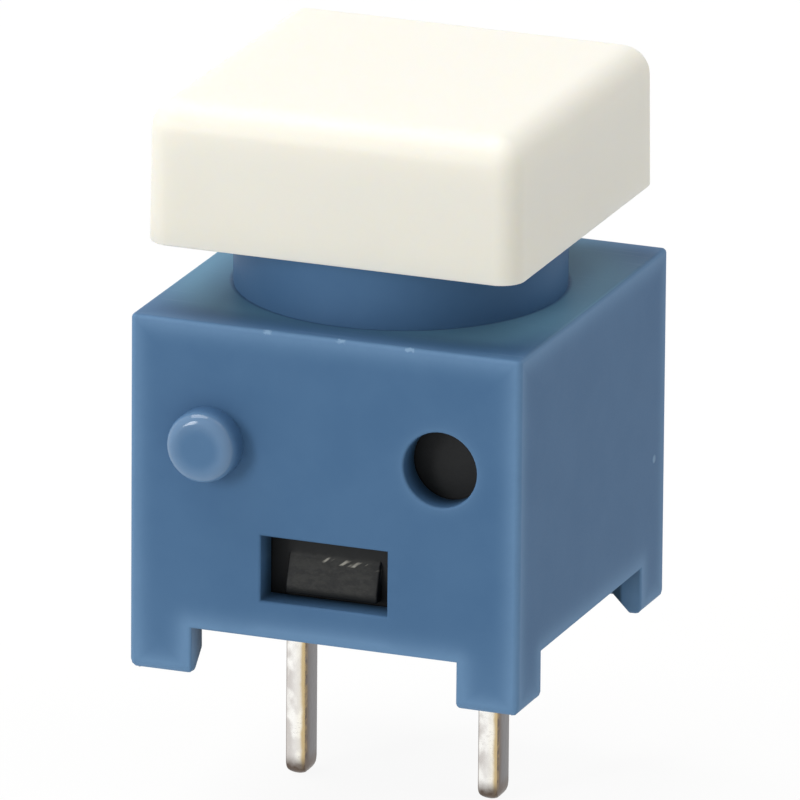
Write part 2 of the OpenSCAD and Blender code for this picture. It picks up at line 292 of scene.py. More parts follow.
@dataclass(frozen=True)
class MouldedBlue:
    """Satin blue moulding with flow clouds, a fine eroded texture, painted glow at its edges and painted
    bounce light and shade.
    """

    body: Colour = (0.0640, 0.1470, 0.283)
    # Painted glow: the tone of edges, soles, peg and rims, as if lit through the thin walls
    pale: Colour = (0.131, 0.250, 0.424)
    # Colour of the gate stub and hairlines, and of torn flash at each nick painted as pale highlights
    torn_and_glint: Colour = (0.24, 0.38, 0.56)
    shade: Colour = (0.010, 0.030, 0.050)
    # Painted bounce light: the tone of the roof under the cap
    roof: Colour = (0.152, 0.325, 0.470)
    half: float = 5.08 * MM
    top: float = 9.06 * MM
    foot_high: float = 1.20 * MM
    foot_start: float = 3.46 * MM
    collar_radius: float = 4.10 * MM
    stack_x: float = 3.00 * MM
    stack_z: float = 6.05 * MM
    hole_radius: float = 0.95 * MM
    window_low: float = 1.325 * MM
    window_half: float = 1.65 * MM
    gate_y: float = 4.26 * MM
    gate_z: float = 3.83 * MM
    nick_places: tuple[float, ...] = (-1.50 * MM, 0.42 * MM, 2.20 * MM)
    edge_reach: float = 0.38 * MM
    sole_reach: float = 0.90 * MM
    rim_reach: float = 0.13 * MM
    bounce_full: float = 4.80 * MM
    bounce_end: float = 6.60 * MM
    grain: float = 0.05 * MM
    relief: float = 0.0011 * MM

    def above_feet(self, paint: Paint) -> Number:
        """Distance on a wall to its lower outline, which steps up between the feet."""
        beside = paint.larger(paint.smaller(abs(paint.x), abs(paint.y)) - self.foot_start, 0.0)
        above = paint.larger(paint.z - self.foot_high, 0.0)
        return paint.smaller(abs(paint.z), paint.maths("SQRT", beside * beside + above * above))

    def painted_edge_glow(self, paint: Paint) -> Number:
        """Painted glow for the light that the thin edges let through: strong at every outer edge, fading
        inwards, and paler towards the soles.
        """
        from_side, from_front = abs(self.half - abs(paint.x)), abs(self.half - abs(paint.y))
        ends = paint.smaller(abs(self.top - paint.z), self.above_feet(paint))
        near = paint.second_least(from_side, from_front, ends) / self.edge_reach
        rim = paint.maths("EXPONENT", 0 - near * near) * (0.82 + paint.noise(0.12 * MM, 1.0) * 0.14)
        rim *= 1.0 - paint.rise(paint.z, self.top - 0.05 * MM, self.top) * 0.55
        return rim + paint.fade(abs(paint.z), self.sole_reach) * 0.48

    def nick_glints(self, paint: Paint) -> Number:
        """Torn flash in a few places along the roof's front and back edges, painted as pale highlights."""
        across = paint.x * paint.maths("SIGN", 0 - paint.y)
        ragged = (paint.noise(0.07 * MM, 1.0) - 0.5) * (0.16 * MM)
        nearest = abs(across - self.nick_places[0])
        for place in self.nick_places[1:]:
            nearest = paint.smaller(nearest, abs(across - place))
        close = paint.rise(self.top - paint.z + ragged, 0.13 * MM, 0.07 * MM)
        close *= paint.rise(self.half - abs(paint.y) + ragged, 0.10 * MM, 0.04 * MM)
        return close * paint.rise(nearest + ragged, 0.13 * MM, 0.06 * MM)

    def scratches(self, paint: Paint) -> Number:
        """A few hairlines on the roof."""
        sockets = {"Vector": paint.place, "Rotation": (0, 0, 0.35), "Scale": (0.05, 1.0, 1.0)}
        settled = paint.node("ShaderNodeMapping", sockets=sockets).outputs[0]
        sockets = {"Vector": settled, "Scale": 1 / (0.11 * MM), "Detail": 0.0}
        lines = Number(paint, paint.node("ShaderNodeTexNoise", sockets=sockets).outputs["Fac"])
        return paint.rise(lines, 0.70, 0.76) * paint.rise(abs(paint.z - self.top), 0.02 * MM, 0.01 * MM)

    def gate_mark(self, paint: Paint) -> Number:
        """The broken-off stub where the mould was filled, low on the right-hand face."""
        ahead, up = paint.y - self.gate_y, paint.z - self.gate_z
        away = paint.maths("SQRT", ahead * ahead + up * up)
        return paint.rise(away, 0.13 * MM, 0.07 * MM) * paint.rise(paint.x, 4.9 * MM, 5.0 * MM)

    def peg_rim(self, paint: Paint) -> Number:
        """Where the peg's rim is, front and back: worn shiny under a clear coat, and painted paler as a
        highlight.
        """
        radius = self.from_axis(paint, -self.stack_x)
        return paint.rise(radius, 0.35 * MM, 0.76 * MM) * paint.rise(abs(paint.y), 5.40 * MM, 5.62 * MM)

    def sunken(self, paint: Paint) -> Number:
        """How far a point lies inside the window or the stacking hole, where little light comes."""
        between_sides = paint.rise(abs(paint.x), 4.6 * MM, 4.5 * MM)
        inner = paint.smaller(between_sides, paint.rise(paint.z, 8.3 * MM, 8.2 * MM))
        return paint.rise(abs(paint.y), self.half - 0.06 * MM, self.half - 0.85 * MM) * inner

    def painted_hole_glow(self, paint: Paint) -> Number:
        """Painted glow on the stacking hole's rim and the window's sill, for the light that they let
        through.
        """
        gap = abs(self.from_axis(paint, self.stack_x) - self.hole_radius)
        sill = abs(paint.z - self.window_low) + paint.larger(abs(paint.x) - self.window_half, 0.0)
        on_wall = paint.rise(abs(paint.y), 4.95 * MM, 5.07 * MM)
        return paint.fade(paint.smaller(gap, sill), self.rim_reach) * on_wall

    def painted_roof_bounce(self, paint: Paint) -> Number:
        """How far the roof under the cap is painted paler as painted bounce light: most round the collar.
        """
        radius = paint.maths("SQRT", paint.x * paint.x + paint.y * paint.y)
        level = paint.rise(abs(paint.z - self.top), 0.03 * MM, 0.01 * MM)
        level *= paint.rise(radius, self.collar_radius + 0.01 * MM, self.collar_radius + 0.12 * MM)
        level *= paint.rise(radius, self.bounce_end, self.bounce_full)
        return level * paint.rise(paint.y, -4.8 * MM, -3.6 * MM)

    def from_axis(self, paint: Paint, middle: float) -> Number:
        """Distance from the axis of a stacking feature; the back has it on the other side."""
        across = paint.x * paint.maths("SIGN", paint.y) + middle
        up = paint.z - self.stack_z
        return paint.maths("SQRT", across * across + up * up)

    def material(self) -> bpy.types.Material:
        """Makes the material."""
        paint = Paint("housing_blue")
        clouds = paint.rise(paint.noise(1.6 * MM, 3.0, 0.55), 0.3, 0.7)
        specks = paint.noise(self.grain, 2.0, 0.6)
        rim, gate = self.peg_rim(paint), self.gate_mark(paint)
        # Painted glow on the peg's face, and a painted highlight on its rim below
        peg = paint.rise(abs(paint.y), 5.15 * MM, 5.6 * MM) * 0.28
        # Painted glow: edges, soles, peg, peg rim and hole rims are made paler, as if lit through the walls
        glow = self.painted_edge_glow(paint) + peg + rim * 0.36 + self.painted_hole_glow(paint) * 0.45
        tone = paint.between(paint.smaller(glow + clouds * 0.10, 1.0), self.body, self.pale)
        # Painted bounce light on the roof under the cap
        tone = paint.between(self.painted_roof_bounce(paint) * 0.9, tone, self.roof)
        # Gate stub and hairlines are real; each nick's torn flash is painted as pale highlights
        marks_and_glints = paint.larger(self.nick_glints(paint) * 0.8, gate * 0.6) + self.scratches(paint) * 0.10
        tone = paint.between(marks_and_glints, tone, self.torn_and_glint)
        paint.set(
            Base_Color=paint.between(self.sunken(paint) * 0.8, tone, self.shade),
            Roughness=0.44 + specks * 0.12,
            Specular_IOR_Level=0.10,
            Coat_Weight=rim * 0.95,
            Coat_Roughness=0.10,
        )
        paint.bump(specks * 0.6 + paint.noise(0.25 * MM, 1.0) * 0.6 + gate * 12.0, self.relief)
        return paint.material


@dataclass(frozen=True)
class MouldedBlack:
    """Matt black moulding with a coarse grain; paler, mottled snap noses with ripped flash painted as
    bright highlights.
    """

    body: Colour = (0.006, 0.007, 0.008)
    # Paler mottled grey of the outside faces, most on the snap noses
    mottled_grey: Colour = (0.0200, 0.0210, 0.0200)
    # Colour of torn flash, here painted as bright highlights on the noses' edge
    torn_and_glint: Colour = (0.36, 0.35, 0.31)
    face: float = 4.23 * MM
    nose_half: float = 1.2 * MM
    nose_low: float = 2.25 * MM
    nose_top: float = 3.15 * MM
    flash_z: float = 3.13 * MM
    flash_half: float = 0.085 * MM
    flash_left: float = -0.35 * MM
    flash_right: float = 1.22 * MM
    relief: float = 0.005 * MM

    def on_nose(self, paint: Paint) -> Number:
        """Where the snap nose's face is, front and back."""
        wide = paint.rise(abs(paint.x), self.nose_half + 0.02 * MM, self.nose_half - 0.25 * MM)
        under = paint.rise(paint.z, self.nose_top + 0.25 * MM, self.nose_top - 0.12 * MM)
        return wide * under * paint.rise(paint.z, self.nose_low + 0.02 * MM, self.nose_low + 0.25 * MM)

    def flecks(self, paint: Paint) -> Number:
        """Torn flash along part of the nose's upper edge, painted as pale highlights, in lumps that lean to
        one side.
        """
        across = paint.x * paint.maths("SIGN", 0 - paint.y)
        band = paint.rise(abs(paint.z - self.flash_z + across * 0.03), self.flash_half, 0.03 * MM)
        band *= paint.rise(across, self.flash_left, self.flash_left + 0.15 * MM)
        band *= paint.rise(across, self.flash_right, self.flash_right - 0.12 * MM)
        sockets = {0: across - paint.z * 1.3, 1: 0.0, 2: paint.z * 0.6}
        leaning = paint.node("ShaderNodeCombineXYZ", sockets=sockets).outputs[0]
        sockets = {"Vector": leaning, "Scale": 1 / (0.20 * MM), "Detail": 1.0}
        lumps = Number(paint, paint.node("ShaderNodeTexNoise", sockets=sockets).outputs["Fac"])
        return band * paint.rise(lumps, 0.49, 0.60)

    def material(self) -> bpy.types.Material:
        """Makes the material."""
        paint = Paint("base_black")
        grain = paint.noise(0.07 * MM, 3.0, 0.6)
        lumps = paint.noise(0.26 * MM, 4.0, 0.7, (1.7, 1, 0.8))
        outside = paint.rise(abs(paint.y), self.face - 0.03 * MM, self.face + 0.02 * MM)
        on_nose = self.on_nose(paint)
        # Outside faces are a little paler and mottled, the snap noses most
        mottling = outside * (on_nose * 0.75 + 0.12) * (0.20 + paint.rise(lumps, 0.38, 0.60) * 1.1)
        tone = paint.between(mottling, self.body, self.mottled_grey)
        paint.set(
            # Torn flash on the noses' upper edge, painted as bright highlights
            Base_Color=paint.between(outside * self.flecks(paint), tone, self.torn_and_glint),
            Roughness=0.42 + grain * 0.2,
            Specular_IOR_Level=0.24,
        )
        paint.bump(grain * 0.6 + lumps * outside * on_nose * 2.0, self.relief)
        return paint.material


@dataclass(frozen=True)
class MouldedIvory:
    """Satin ivory moulding, a little translucent, with painted light: paler with height and palest at its
    top edges.
    """

    # Rim and top tones of the painted light
    low: Colour = (0.800, 0.780, 0.706)
    high: Colour = (0.897, 0.874, 0.800)
    rim: float = 10.80 * MM
    top: float = 14.40 * MM
    edge_reach: float = 0.4 * MM
    scatter: float = 1.0 * MM
    scatter_share: Colour = (1.0, 0.85, 0.6)

    def material(self) -> bpy.types.Material:
        """Makes the material."""
        paint = Paint("cap_ivory")
        clouds = paint.rise(paint.noise(2.2 * MM, 3.0, 0.5), 0.3, 0.75)
        specks = paint.noise(0.06 * MM, 2.0, 0.6)
        climb = (paint.z - self.rim) / (self.top - self.rim)
        # Painted light: paler with height and palest at the top edges, less in the clouds
        share = climb * 0.55 + paint.fade(self.top - paint.z, self.edge_reach) * 0.5 - clouds * 0.06
        share = paint.smaller(paint.larger(share, 0.0), 1.0)
        paint.set(
            Base_Color=paint.between(share, self.low, self.high),
            Roughness=0.36 + specks * 0.14,
            Specular_IOR_Level=0.4,
            Subsurface_Weight=0.55,
            Subsurface_Radius=self.scatter_share,
            Subsurface_Scale=self.scatter,
        )
        paint.bump(specks, 0.0012 * MM)
        return paint.material


@dataclass(frozen=True)
class NaturalMoulding:
    """Unpigmented slippery moulding of the plunger, slightly waxy."""

    body: Colour = (0.74, 0.74, 0.69)
    cloudy: Colour = (0.66, 0.665, 0.63)

    def material(self) -> bpy.types.Material:
        """Makes the material."""
        paint = Paint("plunger_natural")
        clouds = paint.noise(0.9 * MM, 3.0, 0.55)
        specks = paint.noise(0.06 * MM, 2.0)
        rubs = paint.noise(0.05 * MM, 1.0, 0.5, (1, 1, 14))
        paint.set(
            Base_Color=paint.between(paint.rise(clouds, 0.3, 0.7), self.body, self.cloudy),
            Roughness=0.3 + specks * 0.12 + rubs * 0.08,
        )
        paint.bump(specks + rubs * 0.5, 0.001 * MM)
        return paint.material


@dataclass(frozen=True)
class TinnedStrip:
    """Tin plated brass strip: patchy bright tin on the narrow faces, darker tin on the wide ones as painted
    shade, and bare brass along one sheared edge; darker towards the tip."""

    tin: Colour = (0.98, 0.965, 0.93)
    warm: Colour = (0.95, 0.90, 0.76)
    patch: Colour = (0.60, 0.565, 0.54)
    # Tin of the wide faces, darkened as painted shade
    shaded_tin: Colour = (0.150, 0.144, 0.142)
    violet: Colour = (0.22, 0.20, 0.235)
    brass: Colour = (0.60, 0.46, 0.25)
    brown: Colour = (0.120, 0.078, 0.054)
    gold: Colour = (0.27, 0.185, 0.085)
    dark: Colour = (0.080, 0.052, 0.034)
    # Colour that the tip darkens towards
    tip_tone: Colour = (0.115, 0.085, 0.066)
    centre: float = 2.54 * MM
    half_thick: float = 0.25 * MM
    half_wide: float = 0.445 * MM
    tip: float = -3.95 * MM
    darkening_top: float = 0.62 * MM
    darkening_full: float = 0.20 * MM
    bare_top: float = 3.6 * MM
    relief: float = 0.006 * MM

    def material(self) -> bpy.types.Material:
        """Makes the material."""
        paint = Paint("terminal_tinned")
        facing = paint.maths("SIGN", 0 - paint.y)
        wander = (paint.noise(0.30 * MM, 2.0, 0.55, (1, 1, 1.4)) - 0.5) * (0.10 * MM)
        across = (paint.x - paint.maths("SIGN", paint.x) * self.centre) * facing - self.half_thick
        deep = self.half_wide - abs(paint.y)
        on_wide = paint.rise(deep, 0.02 * MM, 0.06 * MM)
        bare = paint.rise(across, -0.30 * MM, -0.20 * MM)
        bare *= paint.rise(paint.z, self.bare_top, self.bare_top - 0.3 * MM)
        sheared = paint.rise(across + wander, -0.13 * MM, -0.03 * MM) * bare
        narrow = paint.between(sheared, self.narrow_face(paint, across), self.brass)
        # The wide faces get tin darkened as painted shade
        tone = paint.between(on_wide, narrow, self.wide_face(paint, deep, wander, bare))
        height = paint.z - self.tip + wander
        # Darker towards the tip
        tip_darkening = paint.rise(height, self.darkening_top, self.darkening_full) * (0.75 + paint.noise(0.1 * MM) * 0.4)
        paint.set(
            Base_Color=paint.between(paint.smaller(tip_darkening, 1.0), tone, self.tip_tone),
            Metallic=1.0,
            Roughness=0.20 + on_wide * 0.12,
        )
        streaks = paint.noise(0.05 * MM, 1.0, 0.5, (1, 1, 12))
        paint.bump(paint.noise(0.16 * MM, 3.0, 0.55) + streaks * 0.2, self.relief)
        return paint.material

    def narrow_face(self, paint: Paint, across: Number) -> bpy.types.NodeSocket:
        """Bright tin, warmer towards the sheared edge, with duller patches and a brown far edge."""
        patches = paint.rise(paint.noise(0.30 * MM, 2.0, 0.45, (1, 1, 1.5)), 0.40, 0.66)
        small = paint.rise(paint.noise(0.10 * MM, 2.0, 0.55, (1, 1, 0.7)), 0.56, 0.66)
        far_edge = paint.rise(across, -0.20 * MM, -0.42 * MM)
        worn = paint.larger(patches * (far_edge * 0.45 + 0.45), small * 0.3)
        worn = paint.larger(worn, paint.rise(across, -0.455 * MM, -0.50 * MM))
        bright = paint.between(paint.rise(across, -0.3 * MM, 0.0), self.tin, self.warm)
        edged = paint.rise(across, -0.450 * MM, -0.490 * MM) * 0.75
        return paint.between(edged, paint.between(worn, bright, self.patch), self.brown)

    def wide_face(self, paint: Paint, deep: Number, wander: Number, bare: Number) -> bpy.types.NodeSocket:
        """Tin darkened as painted shade, turning brown, golden and almost black beside the sheared edge."""
        from_edge = deep + wander
        streaks = paint.noise(0.05 * MM, 2.0, 0.6, (1, 1, 14))
        plated = paint.between(streaks * 0.25, self.shaded_tin, self.violet)
        low = paint.rise(paint.z, -0.6 * MM, -2.8 * MM)
        brown = paint.rise(from_edge, 0.46 * MM, 0.12 * MM) * bare * (low * 0.4 + 0.6)
        tint = paint.rise(paint.noise(0.35 * MM, 1.0), 0.32, 0.52)
        golden = tint * paint.rise(from_edge, 0.26 * MM, 0.10 * MM) * bare
        spots = paint.rise(paint.noise(0.24 * MM, 2.0, 0.6, (1, 1, 0.7)), 0.42, 0.62)
        dark = spots * paint.rise(from_edge, 0.24 * MM, 0.12 * MM) * bare * 0.8
        tone = paint.between(golden, paint.between(brown, plated, self.brown), self.gold)
        return paint.between(dark, tone, self.dark)


@dataclass(frozen=True)
class RolledBrass:
    """Rolled brass strip with streaks along its length and a little tarnish."""

    metal: Colour = (0.74, 0.53, 0.24)
    tarnish: Colour = (0.46, 0.29, 0.12)

    def material(self) -> bpy.types.Material:
        """Makes the material."""
        paint = Paint("blade_brass")
        streaks = paint.noise(0.03 * MM, 2.0, 0.6, (40, 1, 1))
        clouds = paint.rise(paint.noise(0.8 * MM, 3.0), 0.45, 0.75)
        paint.set(
            Base_Color=paint.between(clouds * 0.5, self.metal, self.tarnish),
            Metallic=1.0,
            Roughness=0.24 + streaks * 0.16 + clouds * 0.12,
        )
        paint.bump(streaks, 0.0012 * MM)
        return paint.material


@dataclass(frozen=True)
class ContactSilver:
    """Headed silver contacts: bright, with a soft sulphide bloom."""

    metal: Colour = (0.88, 0.87, 0.85)
    bloom: Colour = (0.60, 0.55, 0.46)

    def material(self) -> bpy.types.Material:
        """Makes the material."""
        paint = Paint("contact_silver")
        clouds = paint.rise(paint.noise(0.3 * MM, 3.0), 0.45, 0.75)
        scuffs = paint.noise(0.03 * MM, 2.0, 0.6, (1, 5, 1))
        paint.set(
            Base_Color=paint.between(clouds * 0.5, self.metal, self.bloom),
            Metallic=1.0,
            Roughness=0.2 + clouds * 0.15 + scuffs * 0.08,
        )
        paint.bump(scuffs, 0.0008 * MM)
        return paint.material


@dataclass(frozen=True)
class DrawnWire:
    """Drawn spring steel wire with a faint heat tint."""

    metal: Colour = (0.58, 0.57, 0.55)
    tint: Colour = (0.42, 0.36, 0.28)

    def material(self) -> bpy.types.Material:
        """Makes the material."""
        paint = Paint("spring_steel")
        clouds = paint.rise(paint.noise(0.6 * MM, 2.0), 0.4, 0.75)
        draw_marks = paint.noise(0.012 * MM, 2.0, 0.6, (3, 3, 1))
        paint.set(
            Base_Color=paint.between(clouds * 0.5, self.metal, self.tint),
            Metallic=1.0,
            Roughness=0.24 + draw_marks * 0.14,
        )
        paint.bump(draw_marks, 0.0008 * MM)
        return paint.material


def publish(mesh: bpy.types.Mesh, name: str, body: Body, slot: Slot, material: bpy.types.Material,
            stands_for: Iterable[str]) -> bpy.types.Object:
    """Puts a finished mesh in the scene as one piece of the switch.

    Args:
        mesh: The piece's mesh, already in place.
        name: The piece's name.
        body: The CAD body that it moves with.
        slot: The record's material slot that its finish belongs to; not used.
        material: Its material.
        stands_for: The CAD nodes that it replaces.

    Returns:
        The piece's object.
    """
    mesh.name = name
    mesh.materials.clear()
    mesh.materials.append(material)
    piece = bpy.data.objects.new(name, mesh)
    bpy.context.scene.collection.objects.link(piece)
    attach(piece, body.value)
    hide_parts(*stands_for)
    return piece


def evaluated_mesh(holder: bpy.types.Object) -> bpy.types.Mesh:
    """Turns an object with modifiers into a plain mesh, and removes the object."""
    bpy.context.view_layer.update()
    graph = bpy.context.evaluated_depsgraph_get()
    mesh = bpy.data.meshes.new_from_object(holder.evaluated_get(graph), depsgraph=graph)
    bpy.data.objects.remove(holder)
    return mesh


def joined_copy(node: str) -> bmesh.types.BMesh:
    """A copy of a CAD node's mesh, with its loose triangles joined into whole faces."""
    shape = bmesh.new()
    shape.from_mesh(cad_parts[node].data)
    bmesh.ops.remove_doubles(shape, verts=shape.verts, dist=1e-7)
    bmesh.ops.dissolve_limit(shape, angle_limit=math.radians(0.4), verts=shape.verts, edges=shape.edges)
    return shape


def soft_edged(shape: bmesh.types.BMesh, name: str, width: float, segments: int = 3,
               share: Callable[[bmesh.types.BMEdge], float] | None = None) -> bpy.types.Mesh:
    """Rounds a solid's outward sharp edges, keeps its inward ones sharp and smooths the rest.

    Args:
        shape: The solid, which is used up.
        name: A name for the mesh.
        width: The rounding's width.
        segments: Faces across the rounding.
        share: Gives an edge its share of the width; without it each gets the whole.

    Returns:
        The mesh.
    """
    weight = shape.edges.layers.float.new("bevel_weight_edge")
    for face in shape.faces:
        face.smooth = True
    for edge in shape.edges:
        sharp = edge.calc_face_angle(0.0) > SHARP_ANGLE
        edge[weight] = (share(edge) if share else 1.0) if sharp and edge.is_convex else 0.0
        edge.smooth = not (sharp and not edge.is_convex)
    mesh = bpy.data.meshes.new(name)
    shape.to_mesh(mesh)
    shape.free()
    holder = bpy.data.objects.new(name, mesh)
    bpy.context.scene.collection.objects.link(holder)
    rounding = holder.modifiers.new("rounding", "BEVEL")
    rounding.width = width
    rounding.segments = segments
    rounding.limit_method = "WEIGHT"
    rounding.use_clamp_overlap = False
    rounding.miter_outer = "MITER_ARC"
    rounding.loop_slide = False
    shading = holder.modifiers.new("shading", "WEIGHTED_NORMAL")
    shading.keep_sharp = True
    shading.weight = 80
    return evaluated_mesh(holder)


def turned(profile: Sequence[tuple[float, float]], name: str, sides: int = 40) -> bpy.types.Mesh:
    """A closed solid turned about the Z axis.

    Args:
        profile: Radius and height pairs from one end of the axis to the other.
        name: A name for the mesh.
        sides: Faces round it.

    Returns:
        The mesh.
    """
    shape = bmesh.new()
    spokes = [(math.cos(math.tau * i / sides), math.sin(math.tau * i / sides)) for i in range(sides)]
    rows = [[shape.verts.new((r * c, r * s, z)) for c, s in spokes] for r, z in profile]
    for low, high in zip(rows, rows[1:]):
        for i in range(sides):
            j = (i + 1) % sides
            shape.faces.new((low[i], low[j], high[j], high[i]))
    shape.faces.new(rows[0])
    shape.faces.new(rows[-1])
    bmesh.ops.remove_doubles(shape, verts=shape.verts, dist=1e-8)
    bmesh.ops.recalc_face_normals(shape, faces=shape.faces)
    mesh = bpy.data.meshes.new(name)
    shape.to_mesh(mesh)
    shape.free()
    return mesh


@dataclass
class Ring:
    """One horizontal ring of a square loft: half its width, its corner radius and its height."""

    half: float
    corner: float
    z: float

    def points(self, steps: int) -> list[Vector]:
        """The ring's points, the same number in each corner."""
        radius = min(self.corner, self.half)
        middle = self.half - radius
        places = []
        for quarter, (sx, sy) in enumerate(((1, 1), (-1, 1), (-1, -1), (1, -1))):
            for step in range(steps + 1):
                angle = math.radians(90 * (quarter + step / steps))
                places.append(Vector((sx * middle + radius * math.cos(angle),
                                      sy * middle + radius * math.sin(angle), self.z)))
        return places


def loft(rings: Sequence[Ring], steps: int) -> bmesh.types.BMesh:
    """A closed shell through square rings, capped at both ends.

    Args:
        rings: The rings, in order along the surface.
        steps: Faces round each corner.

    Returns:
        The shell, with its doubles merged and its faces outwards.
    """
    shape = bmesh.new()
    rows = [[shape.verts.new(point) for point in ring.points(steps)] for ring in rings]
    for low, high in zip(rows, rows[1:]):
        for i in range(len(low)):
            j = (i + 1) % len(low)
            shape.faces.new((low[i], low[j], high[j], high[i]))
    shape.faces.new(list(reversed(rows[0])))
    shape.faces.new(rows[-1])
    bmesh.ops.remove_doubles(shape, verts=shape.verts, dist=1e-8)
    bmesh.ops.recalc_face_normals(shape, faces=shape.faces)
    for face in shape.faces:
        face.smooth = True
    return shape


@dataclass
class HousingMoulding:
    """The blue housing with its feet, collar and stacking pegs."""

    foot_rounding: float = 0.22 * MM
    sole_shares: tuple[float, float, float] = (0.15, 0.65, 1.0)
    roof_share: float = 0.5
    other_share: float = 0.31
    roof_z: float = 9.06 * MM
    outline: float = 4.90 * MM
    near: float = 0.01 * MM
    finish: MouldedBlue = field(default_factory=MouldedBlue)

    def share(self, edge: bmesh.types.BMEdge) -> float:
        """The feet's soles have the roundest edges, then the roof, then all others."""
        outer = sum(max(abs(v.co.x), abs(v.co.y)) > self.outline for v in edge.verts)
        if all(abs(v.co.z) < self.near for v in edge.verts):
            return self.sole_shares[outer]
        on_roof = outer == 2 and all(abs(v.co.z - self.roof_z) < self.near for v in edge.verts)
        return self.roof_share if on_roof else self.other_share

    def build(self) -> bpy.types.Object:
        """Builds the housing."""
        mesh = soft_edged(joined_copy("housing"), "housing_moulding", self.foot_rounding, 3, self.share)
        return publish(mesh, "housing_moulding", Body.FRAME, Slot.HOUSING, self.finish.material(),
                       ["housing"])


@dataclass
class BaseMoulding:
    """The black base that snaps into the housing."""

    rounding: float = 0.05 * MM
    finish: MouldedBlack = field(default_factory=MouldedBlack)

    def build(self) -> bpy.types.Object:
        """Builds the base."""
        mesh = soft_edged(joined_copy("base"), "base_moulding", self.rounding, 2)
        return publish(mesh, "base_moulding", Body.FRAME, Slot.BASE, self.finish.material(), ["base"])


@dataclass
class KeyCap:
    """The ivory key cap: a shell that leans in, with round edges and a socket inside."""

    half: float = 4.85 * MM
    lean: float = 0.03 * MM
    rim: float = 10.80 * MM
    height: float = 3.60 * MM
    edge: float = 0.76 * MM
    corner: float = 0.60 * MM
    inner_half: float = 4.30 * MM
    inner_corner: float = 0.10 * MM
    ceiling: float = 13.40 * MM
    boss_half: float = 2.83 * MM
    boss_low: float = 12.36 * MM
    socket_half: float = 2.03 * MM
    steps: int = 12
    finish: MouldedIvory = field(default_factory=MouldedIvory)

    def outside(self) -> list[Ring]:
        """Rings from the rim up the side and over the round edge to the top."""
        soft = 0.06 * MM
        shoulder = self.rim + self.height - self.edge
        high = self.half - self.lean
        rings = [Ring(self.half - soft * (1 - math.sin(math.radians(a))), self.corner,
                      self.rim + soft * (1 - math.cos(math.radians(a)))) for a in (0, 30, 60, 90)]
        for step in range(1, 4):
            share = step / 4
            rings.append(Ring(self.half - self.lean * share, self.corner,
                              self.rim + soft + (shoulder - self.rim - soft) * share))
        for step in range(13):
            angle = math.radians(90 * step / 12)
            rings.append(Ring(high - self.edge * (1 - math.cos(angle)), self.corner * math.cos(angle),
                              shoulder + self.edge * math.sin(angle)))
        return rings

    def inside(self) -> list[Ring]:
        """Rings from the socket's ceiling down, over the boss and along the inner wall to the rim."""
        small = 0.05 * MM
        return [
            Ring(self.socket_half, small, self.ceiling),
            Ring(self.socket_half, small, self.boss_low + small),
            Ring(self.socket_half + small, small * 2, self.boss_low),
            Ring(self.boss_half - small, self.corner - small, self.boss_low),
            Ring(self.boss_half, self.corner, self.boss_low + small),
            Ring(self.boss_half, self.corner, self.ceiling - small),
            Ring(self.boss_half + small, self.corner + small, self.ceiling),
            Ring(self.inner_half - small, self.inner_corner, self.ceiling),
            Ring(self.inner_half, self.inner_corner, self.ceiling - small),
            Ring(self.inner_half, self.inner_corner, self.rim + small),
            Ring(self.inner_half + small, self.inner_corner + small, self.rim),
        ]

    def build(self) -> bpy.types.Object:
        """Builds the key cap."""
        shape = loft(self.inside() + self.outside(), self.steps)
        mesh = bpy.data.meshes.new("key_cap")
        shape.to_mesh(mesh)
        shape.free()
        mesh.set_sharp_from_angle(angle=CREASE)
        return publish(mesh, "key_cap", Body.BUTTON, Slot.CAP, self.finish.material(), ["keycap"])


@dataclass
class PlungerMoulding:
    """The stem, flange and post that carry the contact blade."""

    rounding: float = 0.05 * MM
    finish: NaturalMoulding = field(default_factory=NaturalMoulding)

    def build(self) -> bpy.types.Object:
        """Builds the plunger."""
        mesh = soft_edged(joined_copy("plunger"), "plunger_moulding", self.rounding, 2)
        return publish(mesh, "plunger_moulding", Body.BUTTON, Slot.PLUNGER, self.finish.material(),
                       ["plunger"])


